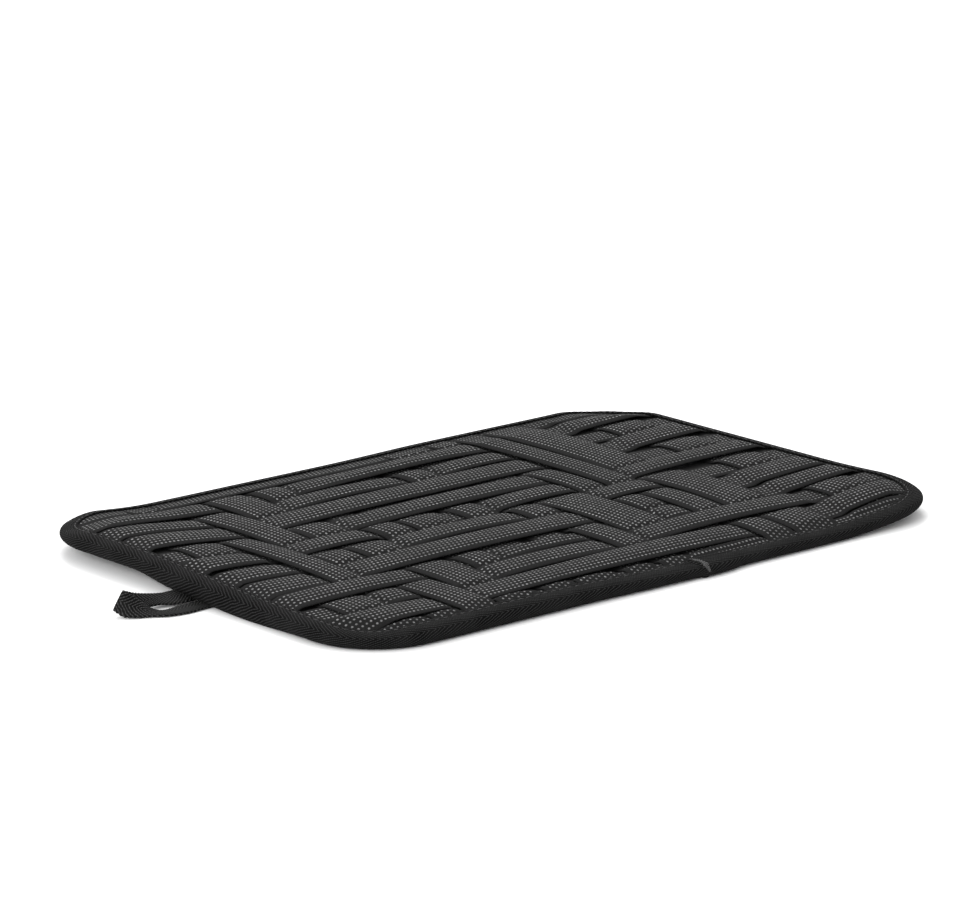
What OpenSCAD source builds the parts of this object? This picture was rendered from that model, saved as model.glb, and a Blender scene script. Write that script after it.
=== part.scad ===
// Elastic-band cable organizer with a zipped rear pocket.
// A stiff board is wrapped in fabric and bound round its edge with twill tape. Twelve long
// and thirteen cross bands of elastic are woven over its front. A coil zip opens a flat
// pocket on its back, and a tape loop pulls it out of a bag. It lies on its back on z = 0.

/* [Board] */
// Length of the bound board along X, without the pull loop
board_l = 305; // [303:1:320]
// Width of the bound board along Y
board_w = 203; // [201:1:212]
// Outside radius of the board's corners
corner_r = 33; // [30:1:36]

/* [Binding] */
// Thickness of the whole bound edge
edge_h = 8.5; // [8.5:0.1:9]
// Thickness of the binding tape
tape_t = 0.8; // [0.7:0.1:0.8]
// How far each lip of the binding reaches over the board
lip_w = 7; // [6.8:0.1:7.4]

/* [Layers] */
// Thickness of the padded pocket panel
panel_t = 1.8; // [1.7:0.1:1.9]
// Thickness of the stiff core board
core_t = 1.8; // [1.5:0.1:1.8]
// Thickness of the front cover fabric
cover_t = 0.4; // [0.3:0.1:0.4]
// Thickness of the pocket lining
lining_t = 0.3; // [0.2:0.1:0.3]

/* [Elastic bands] */
// Thickness of a band
band_t = 0.8; // [0.7:0.1:0.8]

/* [Zip] */
// Distance of the zip's centre line from the board's long edge
zip_inset = 27; // [24:1:34]
// Width of each zip tape
zip_tape_w = 12; // [10:1:14]
// Length of the slider's travel
zip_travel = 226; // [120:1:226]
// Length of the pull tab from its pin
pull_l = 21; // [16:1:24]

/* [Pull loop] */
// Width of the loop's tape
loop_tape_w = 9; // [8:0.5:9]
// Thickness of the loop's tape
loop_t = 1.2; // [1:0.1:1.2]
// How far the loop reaches past the board's end
loop_reach = 32; // [28:1:36]

/* [Hidden] */
LONG = [for (i = [1:12]) str("long_band_", i)];
CROSS = [for (j = [1:13]) str("cross_band_", j)];
$fn = 96;

// The origin is under the middle of the board and loop together, so the board sits to its right
board_x = loop_reach / 2;

// Heights of the layers, from the back up
panel_z = tape_t;
zip_z = panel_z + panel_t;
cover_z = edge_h - tape_t - band_t - cover_t;
core_z = cover_z - core_t;
lining_z = core_z - lining_t;
band_z = cover_z + cover_t;
band_gap = 0.1;
band_step = band_t + band_gap;

// Layers stop inside the binding's round edge
layer_inset = 4.6;
band_end_inset = 4.8;
sewn_gap = 0.05;

// Long bands, back edge to front edge: centre along Y, width
long_bands = [
    [89, 8.5], [76, 14.5], [59, 13], [42, 16], [22.5, 15], [6.5, 14],
    [-11.5, 14], [-29, 17], [-46.5, 14], [-62.5, 15], [-79.5, 15.5], [-91, 4.5]
];
// Cross bands, loop end to far end: centre along X, width
cross_bands = [
    [-124.5, 20], [-105.5, 13.5], [-89.5, 15.5], [-70.5, 19.5], [-50, 15], [-31, 20],
    [-8.5, 15], [9.5, 15], [29.5, 22], [48.5, 13], [64, 14.5], [83.5, 21.5], [124.5, 22]
];
// Weave chart, a row for each long band and a letter for each cross band: L where the long
// band lies on top, C where the cross band does
weave = [
    "LCLLLLLLCCCCL",
    "LLLCCLLLLLCCL",
    "LLCCLLLCLLCCC",
    "LLCLLLLLLLCCL",
    "CCCCLLLLLCCCC",
    "LCLLCCCLLCCLL",
    "LCCCLLLCCLLCC",
    "LCLLLLLLCCCCL",
    "LLLCCLLCCLCCL",
    "CLCCLLLCLLLLC",
    "LLCLLLLLLLCCL",
    "CCCCCCCCLLCCL"
];
crossing_margin = 0.3;

// Zip
zip_y = -board_w / 2 + zip_inset;
zip_gap = 9;
coil_t = 1;
coil_w = 2.1;
coil_split = 1;
zip_tape_t = 0.4;
slider_l = 9;
slider_w = 7.4;
slider_tail_w = 6.4;
slider_plate = 0.5;
slider_play = 0.15;
slider_x = zip_travel / 2;
slider_outer_z = zip_z - slider_play - slider_plate;
slider_inner_z = zip_z + coil_t + slider_play;
stop_l = 2.4;
stop_t = 0.3;
pin_r = 0.4;
pin_play = 0.1;
eye_r = 0.8;
pin_z = slider_outer_z - 0.1 - eye_r;
pull_t = 0.7;
pull_w = 5;
pull_neck_w = 3;

// Pull loop: two strands of one tape that meet at the tip
loop_gap = 1;
loop_near_y = -8.5;
loop_far_y = 8;
loop_tip_y = 1.5;
loop_end_depth = 4.4;

// A rounded rectangle, the board's outline moved in by inset
module outline(inset) {
    l = board_l - 2 * inset;
    w = board_w - 2 * inset;
    r = corner_r - inset;
    square([l - 2 * r, w], center = true);
    square([l, w - 2 * r], center = true);
    for (x = [-1, 1], y = [-1, 1])
        translate([x * (l / 2 - r), y * (w / 2 - r)])
            circle(r);
}

module layer(z, t, inset = layer_inset) {
    translate([board_x, 0, z])
        linear_extrude(height = t)
            outline(inset);
}

// The C-shaped section of the binding, with its round edge at x = corner_r
module binding_section() {
    r = edge_h / 2;
    difference() {
        union() {
            translate([corner_r - r, r])
                circle(r);
            translate([corner_r - lip_w, 0])
                square([lip_w - r, edge_h]);
        }
        translate([corner_r - r, r])
            circle(r - tape_t);
        translate([corner_r - 2 * r - 1, tape_t])
            square([r + 1, edge_h - 2 * tape_t]);
    }
}

module binding_tape() {
    straight_l = board_l - 2 * corner_r;
    straight_w = board_w - 2 * corner_r;
    color("#1b1b1c")
        difference() {
            translate([board_x, 0, 0])
                for (turn = [0, 1]) rotate([0, 0, turn * 180]) {
                    translate([0, straight_w / 2, 0])
                        rotate([90, 0, 90])
                            linear_extrude(height = straight_l, center = true)
                                binding_section();
                    translate([straight_l / 2, 0, 0])
                        rotate([90, 0, 0])
                            linear_extrude(height = straight_w, center = true)
                                binding_section();
                    translate([straight_l / 2, straight_w / 2, 0])
                        rotate_extrude(angle = 90)
                            binding_section();
                    translate([-straight_l / 2, straight_w / 2, 0])
                        rotate([0, 0, 90])
                            rotate_extrude(angle = 90)
                                binding_section();
                }
            loop_ends(sewn_gap);
        }
}

// The thread that sews the front lip down, as one line round the board
module binding_stitching() {
    thread = 0.5;
    thread_h = 0.15;
    color("#2a2a2b")
        difference() {
            layer(edge_h, thread_h, lip_w - 1.6);
            layer(edge_h - 1, 2, lip_w - 1.6 + thread);
        }
}

module core_board() {
    color("#3a3a3a")
        layer(core_z, core_t);
}

module front_cover() {
    color("#161617")
        layer(cover_z, cover_t);
}

module pocket_lining() {
    color("#1c1c1e")
        layer(lining_z, lining_t);
}

// Either side of the slot that the zip shows through
module beside_zip(side, z, t, from, to) {
    reach = to - from;
    intersection() {
        layer(z, t);
        translate([board_x - board_l / 2, zip_y + (side > 0 ? from : -to), z - 1])
            cube([board_l, reach, t + 2]);
    }
}

module pocket_panel() {
    color("#1a1a1b")
        beside_zip(1, panel_z, panel_t, zip_gap / 2, board_w);
}

module pocket_strip() {
    color("#1a1a1b")
        beside_zip(-1, panel_z, panel_t, zip_gap / 2, board_w);
}

module zip_tape(side) {
    color("#151516")
        beside_zip(side, zip_z, zip_tape_t, coil_split / 2 + coil_w, coil_split / 2 + coil_w + zip_tape_w);
}

module zip_coil(side) {
    from = coil_split / 2;
    length = board_l - 2 * (lip_w + 1);
    color("#101011")
        translate([board_x - length / 2, zip_y + (side > 0 ? from : -from - coil_w), zip_z])
            cube([length, coil_w, coil_t]);
}

// A metal staple over both coils, just past an end of the slider's travel
module zip_stop(end) {
    width = 2 * coil_w + coil_split;
    x = board_x + end * (slider_x + slider_l / 2 + 1) + (end > 0 ? 0 : -stop_l);
    color("#6d6e70")
        translate([x, zip_y - width / 2, zip_z - slider_play - stop_t])
            cube([stop_l, width, stop_t + slider_play]);
}

// The slider's plate from above: a broad mouth towards +X, with its corners cut, and a narrow tail
module slider_shape(side_inset = 0, end_inset = 0) {
    x = slider_l / 2 - end_inset;
    mouth = slider_w / 2 - side_inset;
    tail = slider_tail_w / 2 - side_inset;
    cut = 1.2;
    polygon([
        [-x, -tail + cut], [-x + cut, -tail], [x - cut, -mouth], [x, -mouth + cut],
        [x, mouth - cut], [x - cut, mouth], [-x + cut, tail], [-x, tail - cut]
    ]);
}

module zip_slider() {
    rail_w = 0.5;
    rail_h = 0.55;
    post_t = 0.7;
    post_r = eye_r;
    post_in = pull_neck_w / 2 + 0.3;
    color("#2c2d2f")
        translate([board_x + slider_x, zip_y, 0]) {
            for (z = [slider_outer_z, slider_inner_z])
                translate([0, 0, z])
                    linear_extrude(height = slider_plate)
                        slider_shape();
            translate([slider_l / 2 - 2.6, -0.35, slider_outer_z])
                cube([2, 0.7, slider_inner_z - slider_outer_z + slider_plate]);
            translate([0, 0, slider_inner_z - rail_h])
                linear_extrude(height = rail_h + slider_plate / 2)
                    difference() {
                        slider_shape();
                        slider_shape(rail_w, -2 * rail_w);
                    }
            for (side = [-1, 1])
                translate([0, side * (post_in + post_t / 2), 0]) {
                    translate([0, 0, pin_z])
                        rotate([90, 0, 0])
                            cylinder(h = post_t, r = post_r, center = true);
                    translate([-post_r, -post_t / 2, pin_z])
                        cube([2 * post_r, post_t, slider_outer_z - pin_z + slider_plate / 2]);
                }
            translate([0, 0, pin_z])
                rotate([90, 0, 0])
                    cylinder(h = 2 * post_in + post_t, r = pin_r, center = true);
        }
}

// The pull tab hangs on the slider's pin by an eye and lies along the zip
module zip_pull() {
    tab_z = pin_z - pin_r - pin_play - pull_t / 2;
    neck_l = 4.5;
    end_x = -pull_l + pull_w / 2;
    slot_r = 1.1;
    slot_l = 5;
    color("#333436")
        translate([board_x + slider_x, zip_y, 0])
            difference() {
                union() {
                    translate([0, 0, pin_z])
                        rotate([90, 0, 0])
                            cylinder(h = pull_neck_w, r = eye_r, center = true);
                    translate([0, 0, tab_z])
                        linear_extrude(height = pull_t)
                            difference() {
                                union() {
                                    translate([-neck_l, -pull_neck_w / 2])
                                        square([neck_l, pull_neck_w]);
                                    polygon([
                                        [-neck_l, -pull_neck_w / 2], [-neck_l, pull_neck_w / 2],
                                        [-neck_l - 2, pull_w / 2], [end_x, pull_w / 2],
                                        [end_x, -pull_w / 2], [-neck_l - 2, -pull_w / 2]
                                    ]);
                                    translate([end_x, 0])
                                        circle(pull_w / 2);
                                }
                                for (x = [0, slot_l])
                                    translate([end_x + x, 0])
                                        circle(slot_r);
                                translate([end_x, -slot_r])
                                    square([slot_l, 2 * slot_r]);
                            }
                }
                translate([0, 0, pin_z])
                    rotate([90, 0, 0])
                        cylinder(h = pull_neck_w + 2, r = pin_r + pin_play, center = true);
            }
}

// One band seen from its side: points under it, then back over its top
function strip(levels, spans, end_at, lip_at) =
    let (
        low = [[-end_at, 0], [-lip_at, 0]],
        mid = [
            for (k = [0:len(spans) - 1]) for (side = [-1, 1])
                [
                    spans[k][0] + side * (spans[k][1] / 2 + crossing_margin),
                    levels[k] ? band_step : 0
                ]
        ],
        high = [[lip_at, 0], [end_at, 0]],
        under = concat(low, mid, high)
    )
    concat(under, [for (k = [len(under) - 1:-1:0]) under[k] + [0, band_t]]);

// Bands are trimmed by the round corners of the board and of the binding's front lip
module band_space() {
    layer(band_z - 1, band_t + 1, band_end_inset);
    layer(band_z - 1, 4, lip_w + sewn_gap);
}

module long_band(i) {
    on_top = [for (j = [0:len(cross_bands) - 1]) weave[i][j] == "L"];
    shape = strip(on_top, cross_bands, board_l / 2 - band_end_inset, board_l / 2 - lip_w - sewn_gap);
    color("#2d2d2e")
        intersection() {
            translate([board_x, long_bands[i][0], band_z])
                rotate([90, 0, 0])
                    linear_extrude(height = long_bands[i][1], center = true)
                        polygon(shape);
            band_space();
        }
}

module cross_band(j) {
    rows = [for (i = [len(long_bands) - 1:-1:0]) i];
    on_top = [for (i = rows) weave[i][j] == "C"];
    spans = [for (i = rows) long_bands[i]];
    shape = strip(on_top, spans, board_w / 2 - band_end_inset, board_w / 2 - lip_w - sewn_gap);
    color("#2b2b2c")
        intersection() {
            translate([board_x + cross_bands[j][0], 0, band_z])
                rotate([90, 0, 90])
                    linear_extrude(height = cross_bands[j][1], center = true)
                        polygon(shape);
            band_space();
        }
}

// The two tape ends that are sewn into the binding's edge
module loop_ends(gap = 0) {
    from = -loop_gap + loop_t / 2 + 0.05;
    translate([board_x - board_l / 2 + from, 0, -gap])
        for (y = [loop_near_y, loop_far_y])
            translate([0, y - loop_tape_w / 2 - gap, 0])
                cube([loop_end_depth - from + gap, loop_tape_w + 2 * gap, loop_t + 2 * gap]);
}

module pull_loop_ends() {
    color("#1d1d1e")
        loop_ends();
}

// The free part of the loop. Each strand has a round end on the line where it bends
module pull_loop() {
    half = loop_tape_w / 2;
    run = loop_reach - loop_gap;
    color("#1d1d1e")
        translate([board_x - board_l / 2 - loop_gap, 0, 0]) {
            linear_extrude(height = loop_t)
                difference() {
                    polygon([
                        [0, loop_near_y - half], [-run, loop_tip_y - half],
                        [-run, loop_tip_y + half], [0, loop_far_y + half]
                    ]);
                    polygon([
                        [0, loop_near_y + half], [-run * 0.6, loop_tip_y], [0, loop_far_y - half],
                        [1, loop_far_y - half], [1, loop_near_y + half]
                    ]);
                }
            for (y = [loop_near_y, loop_far_y])
                translate([0, y, loop_t / 2])
                    rotate([90, 0, 0])
                        cylinder(h = loop_tape_w, r = loop_t / 2, center = true);
        }
}

for (i = [0:len(LONG) - 1])
    long_band(i);
for (j = [0:len(CROSS) - 1])
    cross_band(j);
core_board();
front_cover();
pocket_lining();
pocket_panel();
pocket_strip();
zip_tape(1);  // zip_tape_panel_side
zip_tape(-1);  // zip_tape_strip_side
zip_coil(1);  // zip_coil_panel_side
zip_coil(-1);  // zip_coil_strip_side
zip_stop(1);  // zip_top_stop
zip_stop(-1);  // zip_bottom_stop
zip_slider();
zip_pull();
binding_tape();
binding_stitching();
pull_loop_ends();
pull_loop();
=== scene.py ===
"""Looks for the elastic-band cable organizer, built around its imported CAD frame.

Lengths are in metres. The board lies on its back with its woven front up. Its long side runs
along X, and the pull loop is at its -X end.
"""
import math

import bpy
import numpy as np
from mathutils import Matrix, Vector


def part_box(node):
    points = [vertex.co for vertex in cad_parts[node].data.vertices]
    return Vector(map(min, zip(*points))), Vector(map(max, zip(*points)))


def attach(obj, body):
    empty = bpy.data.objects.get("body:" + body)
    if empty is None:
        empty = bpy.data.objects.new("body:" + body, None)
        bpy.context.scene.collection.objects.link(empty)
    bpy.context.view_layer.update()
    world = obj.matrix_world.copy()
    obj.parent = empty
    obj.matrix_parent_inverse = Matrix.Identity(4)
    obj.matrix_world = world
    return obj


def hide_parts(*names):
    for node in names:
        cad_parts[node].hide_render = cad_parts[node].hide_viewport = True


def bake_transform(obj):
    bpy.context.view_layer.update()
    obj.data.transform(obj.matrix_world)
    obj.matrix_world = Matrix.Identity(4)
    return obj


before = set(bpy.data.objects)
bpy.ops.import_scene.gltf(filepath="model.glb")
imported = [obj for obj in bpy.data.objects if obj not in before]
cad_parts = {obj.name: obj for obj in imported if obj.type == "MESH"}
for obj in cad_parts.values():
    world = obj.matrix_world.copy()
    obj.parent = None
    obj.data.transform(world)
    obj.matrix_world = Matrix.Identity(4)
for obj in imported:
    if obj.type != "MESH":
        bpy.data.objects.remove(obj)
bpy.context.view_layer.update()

MM = 0.001

# ------------ driving dimensions

# The board's outline comes from the binding tape's box
edge_low, edge_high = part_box("binding_tape")
MID_X = (edge_low.x + edge_high.x) / 2
MID_Y = (edge_low.y + edge_high.y) / 2
HALF_L = (edge_high.x - edge_low.x) / 2
HALF_W = (edge_high.y - edge_low.y) / 2
CORNER_R = 33 * MM
EDGE_H = edge_high.z

# Elastic bands: thickness, how much higher a band rides over another than on the cover, and how far
# inside the board's outline its ends are
BAND_T = 0.85 * MM
BAND_STEP = 0.9 * MM
BAND_END = 5.0 * MM
# The most that a raised span bows up, and the elastic's dots: their pitch along a row, the pitch of
# the rows, and the plain border beside them, all in millimetres
ARCH_LIMIT = 1.35
DOT_PITCH = 1.95
DOT_ROW = 2.25
PLAIN_BORDER = 2.4

# Binding tape: how far its lips reach in, how far the front lip's edge stands up, and thickness
LIP_W = 7.4 * MM
LIP_RISE = 0.75 * MM
TAPE_T = 0.8 * MM
# Its seam: how far inside the outline, the stitches' pitch and length, and the thread's thickness
SEAM_INSET = LIP_W - 1.3 * MM
STITCH_PITCH = 4.0 * MM
STITCH_LENGTH = 3.1 * MM
THREAD_T = 0.42 * MM
# Where along the near edge the tape's two ends overlap, and for how far
LAP_X = 14.2 * MM
LAP_L = 24 * MM
# The layers' real thickness as a share of the CAD stack's, over the board, at its corners and along
# the right part of its near edge
PRESS = 0.80
CORNER_PRESS = 0.64
FRONT_PRESS = 0.60

# Zip: its line, and how far each way from the middle it is kept flat
slider_low, slider_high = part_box("zip_slider")
ZIP_Y = (slider_low.y + slider_high.y) / 2
ZIP_END = 122 * MM
COIL_PITCH = 1.3 * MM
WIRE_R = 0.22 * MM

# Rear pocket: how far inside the outline the binding holds its cloth, the hems' distance from the
# zip's line, and the topstitching: distance in from the hem, pitch, length, thickness and half-run
HELD_INSET = 4.6 * MM
HEM_GAP = 4.5 * MM
TOPSTITCH_IN = 9.5 * MM
TOPSTITCH_PITCH = 4.2 * MM
TOPSTITCH_LENGTH = 3.2 * MM
TOPSTITCH_T = 0.4 * MM
TOPSTITCH_END = 138 * MM


def smooth(t):
    """0 below 0, 1 above 1, and an eased rise between."""
    t = np.clip(t, 0.0, 1.0)
    return t * t * (3 - 2 * t)


def reach(across, half_along, half_across, inset):
    """How far from its middle the rounded outline, moved in by inset, reaches at a distance across."""
    over = np.maximum(np.abs(across) - (half_across - CORNER_R), 0)
    r = CORNER_R - inset
    over = np.minimum(over, r * 0.9999)
    return half_along - CORNER_R + np.sqrt(r * r - over * over)


def edge_distance(x, y):
    """How far a point of the board lies inside its outline."""
    qx = np.abs(x) - (HALF_L - CORNER_R)
    qy = np.abs(y) - (HALF_W - CORNER_R)
    outside = np.hypot(np.maximum(qx, 0), np.maximum(qy, 0))
    return CORNER_R - outside - np.minimum(np.maximum(qx, qy), 0)


def lift(x, y):
    """How far the sprung board stands off the table: most at its far left and near right corners."""
    left = 4.6 * smooth((-x - 80 * MM) / (70 * MM)) * smooth((y + 60 * MM) / (105 * MM))
    right = smooth((x - 88 * MM) / (62 * MM)) * (2.0 + 2.2 * smooth((-y - 20 * MM) / (75 * MM)))
    far = smooth((y + 95 * MM) / (80 * MM)) * (1.2 + 0.7 * smooth((x + 10 * MM) / (60 * MM)))
    return MM * (left ** 3 + right ** 3 + far ** 3) ** (1 / 3)


def lift_rear(x, y):
    """The pocket's back follows the board, but hangs flat on the table along the zip."""
    return lift(x, y) * off_zip(x, y)


def off_zip(x, y):
    """0 along the zip's travel, and 1 away from it and wherever the binding holds the layers."""
    beside = smooth((np.abs(y - ZIP_Y) - 8 * MM) / (16 * MM))
    beyond = smooth((np.abs(x) - ZIP_END) / (20 * MM))
    held = 1 - smooth((edge_distance(x, y) - 8 * MM) / (13 * MM))
    return np.maximum(np.maximum(beside, beyond), held)


def squeeze(x, y):
    """The layers' height as a share of the CAD stack's: least at the corners and at the near edge."""
    corner_x = smooth((np.abs(x) - HALF_L + CORNER_R) / (18 * MM))
    corner_y = smooth((np.abs(y) - HALF_W + CORNER_R) / (18 * MM))
    corner = corner_x * corner_y
    near_edge = 1 - smooth((edge_distance(x, y) - 5 * MM) / (22 * MM))
    front = smooth((-y - 60 * MM) / (25 * MM)) * smooth((x + 60 * MM) / (70 * MM))
    thin = np.maximum((PRESS - CORNER_PRESS) * corner, (PRESS - FRONT_PRESS) * front)
    return PRESS - thin * near_edge


# ------------ meshes


def add_to_scene(obj):
    bpy.context.scene.collection.objects.link(obj)


def add_object(name, mesh, material):
    mesh.update()
    mesh.materials.append(material)
    piece = bpy.data.objects.new(name, mesh)
    add_to_scene(piece)
    return piece


def build_mesh(name, points, faces, uv=None):
    """A mesh from an array of points in the row frame, quads or other faces, and a UV for each corner."""
    mesh = bpy.data.meshes.new(name)
    points = np.asarray(points, float).reshape(-1, 3)
    mesh.vertices.add(len(points))
    mesh.vertices.foreach_set("co", points.astype(np.float32).ravel())
    sizes = np.array([len(f) for f in faces])
    corners = np.concatenate([np.asarray(f) for f in faces])
    mesh.loops.add(len(corners))
    mesh.loops.foreach_set("vertex_index", corners.astype(np.int32))
    mesh.polygons.add(len(faces))
    starts = np.concatenate([[0], np.cumsum(sizes)[:-1]])
    mesh.polygons.foreach_set("loop_start", starts.astype(np.int32))
    mesh.polygons.foreach_set("loop_total", sizes.astype(np.int32))
    mesh.update(calc_edges=True)
    if uv is not None:
        layer = mesh.uv_layers.new(name="cloth")
        layer.data.foreach_set("uv", np.asarray(uv, np.float32).ravel())
    mesh.polygons.foreach_set("use_smooth", np.ones(len(faces), bool))
    mesh.validate()
    return mesh


def cells(rows, columns):
    """The row and the column number of every cell of a grid."""
    i, j = np.meshgrid(np.arange(rows), np.arange(columns), indexing="ij")
    return i.ravel(), j.ravel()


def full_turn(count):
    """Angles spaced evenly round a full turn."""
    return np.arange(count) * 2 * math.pi / count


def grid_mesh(name, points, uv, close_u=False):
    """A skin over rings of points, with a UV for each point. close_u joins the last ring to the first,
    and needs one more row of UVs. Without it the two ends get flat caps."""
    nu, nv = points.shape[:2]
    uv = np.concatenate([uv, uv[:, :1]], axis=1)
    i, j = cells(nu if close_u else nu - 1, nv)
    i2, j2 = i + 1, j + 1
    quads = np.stack([
        i * nv + j, (i2 % nu) * nv + j, (i2 % nu) * nv + j2 % nv, i * nv + j2 % nv], axis=1)
    corner_uv = np.stack([uv[i, j], uv[i2, j], uv[i2, j2], uv[i, j2]], axis=1).reshape(-1, 2)
    faces = list(quads)
    if not close_u:
        first = np.arange(nv)
        last = first[::-1]
        faces += [first, (nu - 1) * nv + last]
        corner_uv = np.concatenate([corner_uv, uv[0, first], uv[nu - 1, last]])
    return build_mesh(name, points, faces, corner_uv)


def tube_faces(start, rings, sides):
    """Faces of a closed tube whose points are numbered ring by ring, from start."""
    i, j = cells(rings - 1, sides)
    j2 = (j + 1) % sides
    quads = start + np.stack([
        i * sides + j, (i + 1) * sides + j, (i + 1) * sides + j2, i * sides + j2], axis=1)
    first = start + np.arange(sides)[::-1]
    last = start + (rings - 1) * sides + np.arange(sides)
    return list(quads) + [first, last]


def spline(points, count):
    """A Catmull-Rom curve through the points."""
    p = np.asarray(points, float)
    p = np.concatenate([2 * p[:1] - p[1:2], p, 2 * p[-1:] - p[-2:-1]])
    t = np.linspace(0, len(p) - 3 - 1e-9, count)
    k = t.astype(int)
    f = (t - k)[:, None]
    a, b, c, d = p[k], p[k + 1], p[k + 2], p[k + 3]
    square = (2 * a - 5 * b + 4 * c - d) * f ** 2
    cube = (3 * b - a - 3 * c + d) * f ** 3
    return 0.5 * (2 * b + (c - a) * f + square + cube)


def place(x, y, z):
    """Points of the board, given from its middle, in the row frame."""
    return np.stack(np.broadcast_arrays(x + MID_X, y + MID_Y, z), axis=-1)


# ------------ materials


class Nodes:
    """A short way to write a material's node tree."""

    def __init__(self, name):
        self.material = bpy.data.materials.new(name)
        self.material.use_nodes = True
        self.tree = self.material.node_tree
        self.shader = self.tree.nodes["Principled BSDF"]

    def node(self, kind, inputs=(), **settings):
        made = self.tree.nodes.new(kind)
        for key, value in settings.items():
            setattr(made, key, value)
        for key, value in dict(inputs).items():
            self.put(made.inputs[key], value)
        return made

    def put(self, socket, value):
        if isinstance(value, bpy.types.NodeSocket):
            self.tree.links.new(value, socket)
        else:
            socket.default_value = value

    def math(self, operation, *values):
        made = self.node("ShaderNodeMath", operation=operation)
        for k, value in enumerate(values):
            self.put(made.inputs[k], value)
        return made.outputs[0]

    def wave(self, value, pitch):
        """A sine that repeats every pitch of the value."""
        return self.math("SINE", self.math("MULTIPLY", value, 2 * math.pi / pitch))

    def ramp(self, value, low, high, to_low=0.0, to_high=1.0):
        made = self.node("ShaderNodeMapRange", interpolation_type="SMOOTHSTEP")
        for key, v in zip(("Value", "From Min", "From Max", "To Min", "To Max"),
                          (value, low, high, to_low, to_high)):
            self.put(made.inputs[key], v)
        return made.outputs[0]

    def mix(self, factor, a, b):
        made = self.node("ShaderNodeMix", data_type="RGBA")
        for key, v in ((0, factor), (6, a), (7, b)):
            self.put(made.inputs[key], v)
        return made.outputs[2]

    def noise(self, vector, scale, detail=2.0, roughness=0.5):
        made = self.node("ShaderNodeTexNoise", {"Vector": vector, "Scale": scale, "Detail": detail,
                                                "Roughness": roughness})
        return made.outputs["Fac"]

    def cloth_uv(self):
        """The tape's own coordinates in millimetres: along and across."""
        uv = self.node("ShaderNodeUVMap", uv_map="cloth").outputs["UV"]
        split = self.node("ShaderNodeSeparateXYZ", {"Vector": uv})
        return split.outputs["X"], split.outputs["Y"]

    def object_mm(self):
        """Object coordinates in millimetres."""
        where = self.node("ShaderNodeTexCoord").outputs["Object"]
        inputs = {0: where, 1: (1000, 1000, 1000)}
        return self.node("ShaderNodeVectorMath", inputs, operation="MULTIPLY").outputs[0]

    def bump(self, height, distance, normal=None):
        inputs = {"Height": height, "Distance": distance, "Strength": 1.0}
        if normal is not None:
            inputs["Normal"] = normal
        return self.node("ShaderNodeBump", inputs).outputs["Normal"]

    def finish(self, **values):
        for key, value in values.items():
            self.put(self.shader.inputs[key.replace("_", " ")], value)
        return self.material


def grey(value):
    return (value, value, value, 1.0)


def elastic_material(rows):
    """Woven elastic: raised silver dots in staggered rows between plain borders."""
    n = Nodes(f"elastic_{rows}_rows")
    along, across = n.cloth_uv()
    line = n.math("ADD", n.math("DIVIDE", across, DOT_ROW), (rows - 1) / 2)
    row = n.math("ROUND", line)
    off = n.math("MULTIPLY", n.math("MODULO", n.math("ADD", row, 20.0), 2.0), 0.5)
    cell = n.math("ADD", n.math("DIVIDE", along, DOT_PITCH), off)
    column = n.math("FLOOR", cell)
    du = n.math("MULTIPLY", n.math("SUBTRACT", n.math("SUBTRACT", cell, column), 0.5), DOT_PITCH / 0.51)
    dv = n.math("MULTIPLY", n.math("SUBTRACT", line, row), DOT_ROW / 0.47)
    spread = n.math("SQRT", n.math("ADD", n.math("MULTIPLY", du, du), n.math("MULTIPLY", dv, dv)))
    shape = n.ramp(spread, 1.2, 0.65)
    inside = n.math("MULTIPLY", n.math("GREATER_THAN", row, -0.5), n.math("LESS_THAN", row, rows - 0.5))
    dot = n.math("MULTIPLY", shape, inside)
    pair = n.node("ShaderNodeCombineXYZ", {"X": column, "Y": row}).outputs[0]
    chance = n.node("ShaderNodeTexWhiteNoise", {"Vector": pair}, noise_dimensions="2D").outputs["Value"]
    where = n.object_mm()
    patch = n.noise(where, 0.06, 3.0)
    # Fine crosswise ribs of the weave, and the covered rubber threads along it
    ribs = n.wave(along, 0.66)
    threads = n.wave(across, 0.82)
    weave = n.math("MULTIPLY", ribs, threads)
    fuzz = n.noise(where, 2.4, 4.0, 0.7)
    ground = n.mix(n.ramp(fuzz, 0.3, 0.75), grey(0.006), grey(0.013))
    ground = n.mix(n.ramp(weave, -0.6, 1.0, 0.0, 0.35), ground, grey(0.022))
    bright = n.mix(n.math("MULTIPLY", chance, n.ramp(patch, 0.3, 0.7, 0.35, 1.0)), grey(0.050), grey(0.20))
    colour = n.mix(dot, ground, bright)
    height = n.math("ADD", dot, n.math("MULTIPLY", weave, 0.16))
    height = n.math("ADD", height, n.math("MULTIPLY", fuzz, 0.25))
    return n.finish(Base_Color=colour, Roughness=n.ramp(dot, 0.0, 1.0, 0.85, 0.5),
                    Normal=n.bump(height, 0.22 * MM), Sheen_Weight=0.012, Sheen_Roughness=0.4,
                    Specular_IOR_Level=n.ramp(dot, 0.0, 1.0, 0.03, 0.25))


_elastics = {}


def elastic_with(rows):
    if rows not in _elastics:
        _elastics[rows] = elastic_material(rows)
    return _elastics[rows]


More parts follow.
